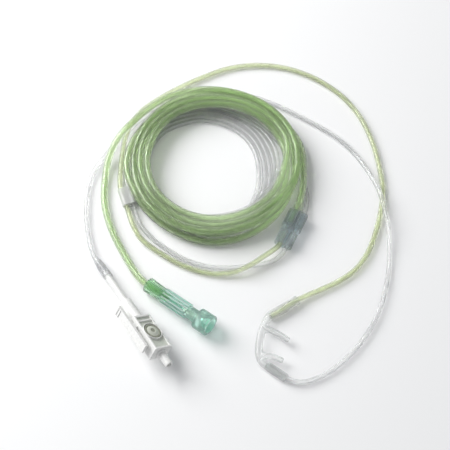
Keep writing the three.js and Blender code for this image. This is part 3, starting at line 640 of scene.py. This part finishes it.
# Nasal piece
BRIDGE = ((20, -61.6), (18.4, -66.5), (17.5, -71.5), (17.3, -76.5), (18.3, -80.5))
BRIDGE_RADIUS = 2.15
OXYGEN_SOCKET_SWELL = 0.35
SAMPLING_SOCKET_SWELL = 0.2
LIP_TAPER = 0.12
PRONG_STEP = 0.4
PRONG_TIP_RADIUS = 1.5
PRONG_ROOT_SWELL = 0.55
PRONG_TAPER = 0.12
PRONG_LIP = 0.28
PRONG_LUMEN = 0.95
BOSS_RADIUS, BOSS_HEIGHT = 1.65, 2.75
DIMPLE_RADIUS, DIMPLE_FLOOR = 1.2, 2.3
PIN_RADIUS, PIN_FLOOR = 0.45, 1.3


def on_spine(x, y):
    return Vector((x, y, NASAL_Z))


def in_socket(mouth, degrees, along):
    return beside(mouth, degrees, along, 0, NASAL_Z)


oxygen_base = in_socket(OXYGEN_SOCKET_MOUTH, OXYGEN_SOCKET_HEADING, OXYGEN_SOCKET_LENGTH)
sampling_base = in_socket(SAMPLING_SOCKET_MOUTH, SAMPLING_SOCKET_HEADING, SAMPLING_SOCKET_LENGTH)
spine = smooth_path(
    [oxygen_mouth, in_socket(OXYGEN_SOCKET_MOUTH, OXYGEN_SOCKET_HEADING, 9), oxygen_base]
    + [on_spine(x, y) for x, y in BRIDGE]
    + [sampling_base, in_socket(SAMPLING_SOCKET_MOUTH, SAMPLING_SOCKET_HEADING, 6), sampling_mouth],
    0.5,
)


def spine_radius(k):
    """Widens towards both sockets and tapers at their lips."""
    run = length_of(spine[: k + 1]) / MM
    left = length_of(spine[k:]) / MM
    r = BRIDGE_RADIUS
    r += OXYGEN_SOCKET_SWELL * (1 - eased(run, 15, 20))
    r += SAMPLING_SOCKET_SWELL * (1 - eased(left, 9, 13))
    return r - LIP_TAPER * (2 - eased(run, 0, 0.8) - eased(left, 0, 0.8))


def prong_path(points):
    return smooth_path([Vector((x, y, NASAL_Z + z)) for x, y, z in points], PRONG_STEP)


oxygen_prong = prong_path(
    [(19.6, -62.7, 0), (23.5, -64.2, 0.6), (28, -66.8, 1.2), (32.6, -70.2, 1.4)]
)
sampling_prong = prong_path(
    [(17.6, -78.2, 0), (21.5, -78.4, 0.6), (25.5, -79.5, 1.2), (29.3, -81.4, 1.4)]
)


def prong_radii(path):
    """Wide at the root, then a slow taper and a rounded lip."""
    radii = []
    for k in range(len(path)):
        run = k * PRONG_STEP
        left = (len(path) - 1 - k) * PRONG_STEP
        r = PRONG_TIP_RADIUS
        r += PRONG_ROOT_SWELL * (1 - eased(run, 2.2, 4))
        r += PRONG_TAPER * (1 - eased(run, 4, 12))
        radii.append(r - PRONG_LIP * eased(-left, -0.9, 0))
    return radii


nasal = rod("nasal_piece_skin", spine, [spine_radius(k) for k in range(len(spine))])
add(nasal, rod("prong_a", oxygen_prong, prong_radii(oxygen_prong)),
    rod("prong_b", sampling_prong, prong_radii(sampling_prong)))
soften(nasal, 0.24, 5)
for name, root in (("boss_a", oxygen_prong[3]), ("boss_b", sampling_prong[1])):
    above = root + Vector((0, 0, BOSS_HEIGHT + 0.25))
    add(nasal, rod(name, [root, root + Vector((0, 0, BOSS_HEIGHT))], BOSS_RADIUS, BORE_SIDES))
    cut(nasal,
        rod(name, [root + Vector((0, 0, DIMPLE_FLOOR)), above], DIMPLE_RADIUS, BORE_SIDES),
        rod(name, [root + Vector((0, 0, PIN_FLOOR)), above], PIN_RADIUS, 16))
lumens = []
for name, mouth, base, radius in (
    ("socket_a", oxygen_mouth, oxygen_base, OXYGEN_LOOP_BORE),
    ("socket_b", sampling_mouth, sampling_base, SAMPLING_LOOP_BORE),
):
    out = (mouth - base).normalized()
    lumens.append(rod(name, [mouth + out, base], radius, BORE_SIDES))
for name, prong, base, first in (
    ("lumen_a", oxygen_prong, oxygen_base, on_spine(*BRIDGE[0])),
    ("lumen_b", sampling_prong, sampling_base, on_spine(*BRIDGE[-1])),
):
    out = (prong[-1] - prong[-4]).normalized()
    way = smooth_path([base.lerp(first, -0.1), first] + prong[10::8] + [prong[-1] + out * 0.6], 0.5)
    lumens.append(rod(name, way, PRONG_LUMEN, 20))
combine(nasal, "DIFFERENCE", lumens)
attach(nasal, "set")
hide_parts("nasal_piece")
paint(nasal, vinyl("nasal_vinyl", (0.97, 1, 0.98), 0.92, 0.05, 0.5, 0.002))

# Slide sleeve
SLEEVE_END = 5.6
SLEEVE_WIDTH, SLEEVE_HEIGHT, SLEEVE_CORNER = 8.1, 4.5, 2.2
SLEEVE = (
    Matrix.Translation((*SLEEVE_CENTRE, SLEEVE_Z))
    @ Matrix.Rotation(math.radians(SLEEVE_HEADING), 4, "Z")
)
sleeve = oval_bar("slide_sleeve_skin", -SLEEVE_END, SLEEVE_END, SLEEVE_WIDTH, SLEEVE_HEIGHT,
                  SLEEVE_CORNER, SLEEVE, 10)
round_edges(sleeve, 0.3, 3, 50)
beyond = SLEEVE_END + 1.4
cut(sleeve,
    bore("bore_a", -beyond, beyond, OXYGEN_LOOP_BORE, SLEEVE, SLEEVE_OXYGEN_SIDE),
    bore("bore_b", -beyond, beyond, SAMPLING_LOOP_BORE, SLEEVE, SLEEVE_SAMPLING_SIDE))
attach(sleeve, "sleeve")
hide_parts("slide_sleeve")
paint(sleeve, vinyl("sleeve_vinyl", (0.97, 1, 0.96), 0.55, 0.3, 0.75, 0.01))

# Junction collar
COLLAR_NARROW = (9.9, 6.1, 2.4)
COLLAR_WIDE = (11, 6.9, 2.8)
COLLAR_FEED_FLOOR = COLLAR_LENGTH - COLLAR_BORE_DEPTH
COLLAR_LUMEN = 0.9
COLLAR_LUMEN_SIDES = (2.1, -2.4)
COLLAR = (
    Matrix.Translation((*COLLAR_LOOP_END, COLLAR_Z))
    @ Matrix.Rotation(math.radians(COLLAR_HEADING), 4, "Z")
)
collar = oval_bar("junction_collar_skin", 0, COLLAR_STEP + 0.5, *COLLAR_NARROW, COLLAR)
add(collar, oval_bar("wide_half", COLLAR_STEP, COLLAR_LENGTH, *COLLAR_WIDE, COLLAR))
round_edges(collar, 0.25, 2, 50)
collar_bores = [
    (-1, COLLAR_BORE_DEPTH, OXYGEN_LOOP_BORE, COLLAR_LOOP_SIDES[0]),
    (-1, COLLAR_BORE_DEPTH, SAMPLING_LOOP_BORE, COLLAR_LOOP_SIDES[1]),
    (COLLAR_FEED_FLOOR, COLLAR_LENGTH + 1, OXYGEN_FEED_BORE, COLLAR_FEED_SIDES[0]),
    (COLLAR_FEED_FLOOR, COLLAR_LENGTH + 1, SAMPLING_FEED_BORE, COLLAR_FEED_SIDES[1]),
]
for side in COLLAR_LUMEN_SIDES:
    collar_bores.append((COLLAR_BORE_DEPTH - 0.6, COLLAR_FEED_FLOOR + 0.6, COLLAR_LUMEN, side))
cut(collar, *[bore("bore", x0, x1, radius, COLLAR, side) for x0, x1, radius, side in collar_bores])
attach(collar, "set")
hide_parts("junction_collar")
paint(collar, vinyl("collar_vinyl", (0.78, 0.88, 0.91), 0.94, 0.04, 0.75, 0.002))

# Oxygen connector
CONNECTOR_OUTSIDE = [
    (0, 3.9), (0.25, 4.15), (2.2, 4.1), (4.5, 3.95), (9, 3.7), (26, 3.55), (27.5, 3.4),
    (32.6, 3.45), (33, 3.7), (33.2, 5.4), (33.5, 5.65), (40.9, 5.7), (41.25, 5.6), (41.4, 5.4),
]
CONNECTOR_INSIDE = [
    (-1, 3), (0, 3), (1.6, 2.25), (15, 2.2), (15.6, 1.3), (25.5, 1.3), (26, 2.6), (34.2, 2.75),
    (34.6, 4.15), (41, 4.3), (41.5, 4.7), (42.4, 4.7),
]
RIBS = 12
RIB_TURN = 8
RIB_START, RIB_END = 11, 27
RIB_WIDTH, RIB_HEIGHT, RIB_CORNER = 0.8, 1.5, 0.3
RIB_RADIUS = 3.5
RIB_CREST = 4.12
INLET_END = 13
connector = turned("oxygen_connector_skin", CONNECTOR_OUTSIDE, 64, CONNECTOR)
ribs = []
for k in range(RIBS):
    spin = CONNECTOR @ Matrix.Rotation(math.radians(360 / RIBS * k + RIB_TURN), 4, "X")
    place = spin @ Matrix.Translation((0, 0, RIB_RADIUS))
    ribs.append(
        oval_bar("rib", RIB_START, RIB_END, RIB_WIDTH, RIB_HEIGHT, RIB_CORNER, place, 4)
    )
add(connector, *ribs)
round_edges(connector, 0.12, 2, 40)
cut(connector, turned("inside", CONNECTOR_INSIDE, 48, CONNECTOR))
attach(connector, "set")
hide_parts("oxygen_connector")
paint(connector, vinyl("teal_vinyl", (0.62, 0.96, 0.84), 0.93, 0.05, 0.85, 0.003))
recolour_faces(connector, CONNECTOR, lambda p, n: p.x < INLET_END,
            vinyl("teal_inlet_vinyl", (0.62, 0.93, 0.66), 0.93, 0.05, 0.85, 0.003))
# The rib tops get a paler, less see-through colour: a painted highlight standing for the light
# caught on the rib edges
recolour_faces(connector, CONNECTOR,
            lambda p, n: INLET_END < p.x < RIB_END and math.hypot(p.y, p.z) > RIB_CREST,
            vinyl("teal_rib_painted_highlight_vinyl", (0.86, 1, 0.95), 0.6, 0.12, 0.95, 0.003))

# Sampling hub
HUB_OUTSIDE = [
    (0, 1.85), (0.2, 2), (2, 2), (3.6, 2.35), (4.2, 2.4), (7.4, 2.25), (7.6, 2.4), (11.2, 2.4),
    (11.5, 2.25),
]
HUB_INSIDE = [
    (-1, SAMPLING_FEED_BORE), (6.6, SAMPLING_FEED_BORE), (6.9, 0.7), (8.4, 0.7), (8.6, 1.95),
    (12.5, 2),
]
EARS_START, EARS_END = 8.4, 11.4
EARS_SPAN, EARS_THICKNESS, EARS_CORNER = 6.4, 1.2, 0.5
hub = turned("sampling_hub_skin", HUB_OUTSIDE, 40, ADAPTER)
add(hub, oval_bar("ears", EARS_START, EARS_END, EARS_SPAN, EARS_THICKNESS, EARS_CORNER, ADAPTER, 4))
round_edges(hub, 0.15, 2, 45)
cut(hub, turned("seat", HUB_INSIDE, BORE_SIDES, ADAPTER))
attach(hub, "set")
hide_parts("sampling_hub")
paint(hub, plastic("clear_hub_plastic", (0.93, 0.94, 0.95), 0.05, 0.01, 0.92, 0.65))

# Sampling adapter
BOX_START, BOX_END, BOX_TOP, BOX_SIDE, BOX_CORNER = 43.6, 66.2, 4.15, 5.35, 0.5
BARREL_AND_THROAT = [
    (8.8, 1.55), (9, 1.65), (28, 1.7), (30.2, 1.75), (30.4, 2.8), (30.7, 3.1), (32, 3.1),
    (43, 3.15), (44, 3.15),
]
NIPPLE = [(65.7, 2.9), (67, 2.9), (67.2, 2.7), (67.22, 2.1), (73.8, 2.05), (74.6, 1.85)]
ADAPTER_LUMEN = [(8, 0.7), (66, 0.7), (70, 0.8), (74, 1.3), (76, 1.35)]
LATCH_START, LATCH_END = 34.6, 62.2
LATCH_OUTSIDE, LATCH_INSIDE, LATCH_HALF = -8.45, -7.05, 2.7
FULCRUM_START, FULCRUM_END, FULCRUM_INSIDE = 46.6, 49.6, -4.4
GRIPS = ((35.2, 35.7), (37, 37.5))
GRIP_OUTSIDE, GRIP_INSIDE, GRIP_HALF = -8.8, -8, 2.5
RECESS_MARGIN, RECESS_SIDE, RECESS_DEPTH = 1, 4.35, 0.9
SEAT = [(1, 5.25), (4.3, 5.25), (4.45, 5.1)]
WELL = [(3.05, 4.9), (4.4, 4.9), (5.4, 5)]
adapter = oval_bar("adapter_body_skin", BOX_START, BOX_END, 2 * BOX_SIDE, 2 * BOX_TOP, BOX_CORNER,
                   ADAPTER, 4)
add(adapter,
    turned("barrel", BARREL_AND_THROAT, 48, ADAPTER),
    turned("nipple", NIPPLE, 40, ADAPTER),
    block("latch", LATCH_START, LATCH_END, LATCH_OUTSIDE, LATCH_INSIDE, -LATCH_HALF, LATCH_HALF,
          ADAPTER),
    block("fulcrum", FULCRUM_START, FULCRUM_END, LATCH_INSIDE - 0.35, FULCRUM_INSIDE,
          -LATCH_HALF, LATCH_HALF, ADAPTER),
    *[block("grip", x0, x1, GRIP_OUTSIDE, GRIP_INSIDE, -GRIP_HALF, GRIP_HALF, ADAPTER)
      for x0, x1 in GRIPS])
UP = (
    ADAPTER
    @ Matrix.Translation(((BOX_START + BOX_END) / 2, 0, 0))
    @ Matrix.Rotation(-math.pi / 2, 4, "Y")
)
cut(adapter,
    block("recess", BOX_START + RECESS_MARGIN, BOX_END - RECESS_MARGIN, -RECESS_SIDE, RECESS_SIDE,
          BOX_TOP - RECESS_DEPTH, BOX_TOP + 1, ADAPTER))
add(adapter,
    turned("ring_seat", SEAT, 64, UP),
    block("rib", BOX_START + 3.2, BOX_START + 3.9, -RECESS_SIDE - 0.25, RECESS_SIDE + 0.25,
          BOX_TOP - 1.2, BOX_TOP - 0.2, ADAPTER))
round_edges(adapter, 0.22, 2, 45)
cut(adapter, turned("well", WELL, 56, UP), turned("lumen", ADAPTER_LUMEN, 24, ADAPTER))
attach(adapter, "set")
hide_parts("adapter_body")
paint(adapter, plastic("white_plastic", (0.82, 0.82, 0.8), 0.3))


def on_recess_floor(p, n):
    along = BOX_START + 0.8 < p.x < BOX_END - 0.8
    return along and abs(p.y) < RECESS_SIDE + 0.05 and n.z > 0.9 and p.z < BOX_TOP - 0.5


# The recess floor gets a darker grey: painted shade in the recess
recolour_faces(adapter, ADAPTER, on_recess_floor, plastic("recess_painted_shade_plastic", (0.62, 0.65, 0.58), 0.35))

# Window: a round insert with a groove, a raised pale ring and a dot in its middle
WINDOW_SIDE = [
    (3.35, 4.6), (4.1, 4.6), (4.3, 4.4), (4.3, 3.5), (4.15, 3.35), (4.35, 2.9), (4.6, 2.2),
    (4.7, 1.5), (4.65, 1.2), (4.45, 1), (4.5, 0.8), (4.55, 0.05),
]
RING_INSIDE, RING_OUTSIDE = 1.1, 3.4
window = turned("adapter_window_skin", WINDOW_SIDE, 56, UP)
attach(window, "set")
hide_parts("adapter_window")
paint(window, plastic("window_plastic", (0.3, 0.31, 0.25), 0.12))
recolour_faces(window, UP, lambda p, n: RING_INSIDE < math.hypot(p.y, p.z) < RING_OUTSIDE,
            plastic("window_ring_plastic", (0.6, 0.62, 0.54), 0.12))

# Floor and light
FLOOR = 1.6
FLOOR_GREY = 0.9
floor_mesh = bpy.data.meshes.new("floor")
floor_corners = [(-FLOOR, -FLOOR, 0), (FLOOR, -FLOOR, 0), (FLOOR, FLOOR, 0), (-FLOOR, FLOOR, 0)]
floor_mesh.from_pydata(floor_corners, [], [(0, 1, 2, 3)])
floor = bpy.data.objects.new("floor", floor_mesh)
bpy.context.scene.collection.objects.link(floor)
floor_paint = bpy.data.materials.new("floor")
floor_paint.use_nodes = True
floor_shader = floor_paint.node_tree.nodes["Principled BSDF"]
floor_shader.inputs["Base Color"].default_value = (FLOOR_GREY, FLOOR_GREY, FLOOR_GREY, 1)
floor_shader.inputs["Roughness"].default_value = 0.7
paint(floor, floor_paint)


LIGHT_AIM = (0, 0.03, 0)


def area_light(name, place, size, power):
    data = bpy.data.lights.new(name, "AREA")
    data.shape = "DISK"
    data.size = size
    data.energy = power
    light = bpy.data.objects.new(name, data)
    bpy.context.scene.collection.objects.link(light)
    light.location = place
    way = Vector(LIGHT_AIM) - Vector(place)
    light.rotation_euler = way.to_track_quat("-Z", "Y").to_euler()


area_light("key", (-0.72, 0.5, 0.64), 0.85, 15.6)
area_light("fill", (0.6, -0.6, 0.8), 0.8, 1)
world = bpy.data.worlds.new("studio")
world.use_nodes = True
sky = world.node_tree.nodes["Background"]
sky.inputs["Color"].default_value = (0.95, 0.97, 1, 1)
sky.inputs["Strength"].default_value = 0.35
bpy.context.scene.world = world
bpy.context.scene.view_settings.view_transform = "Standard"
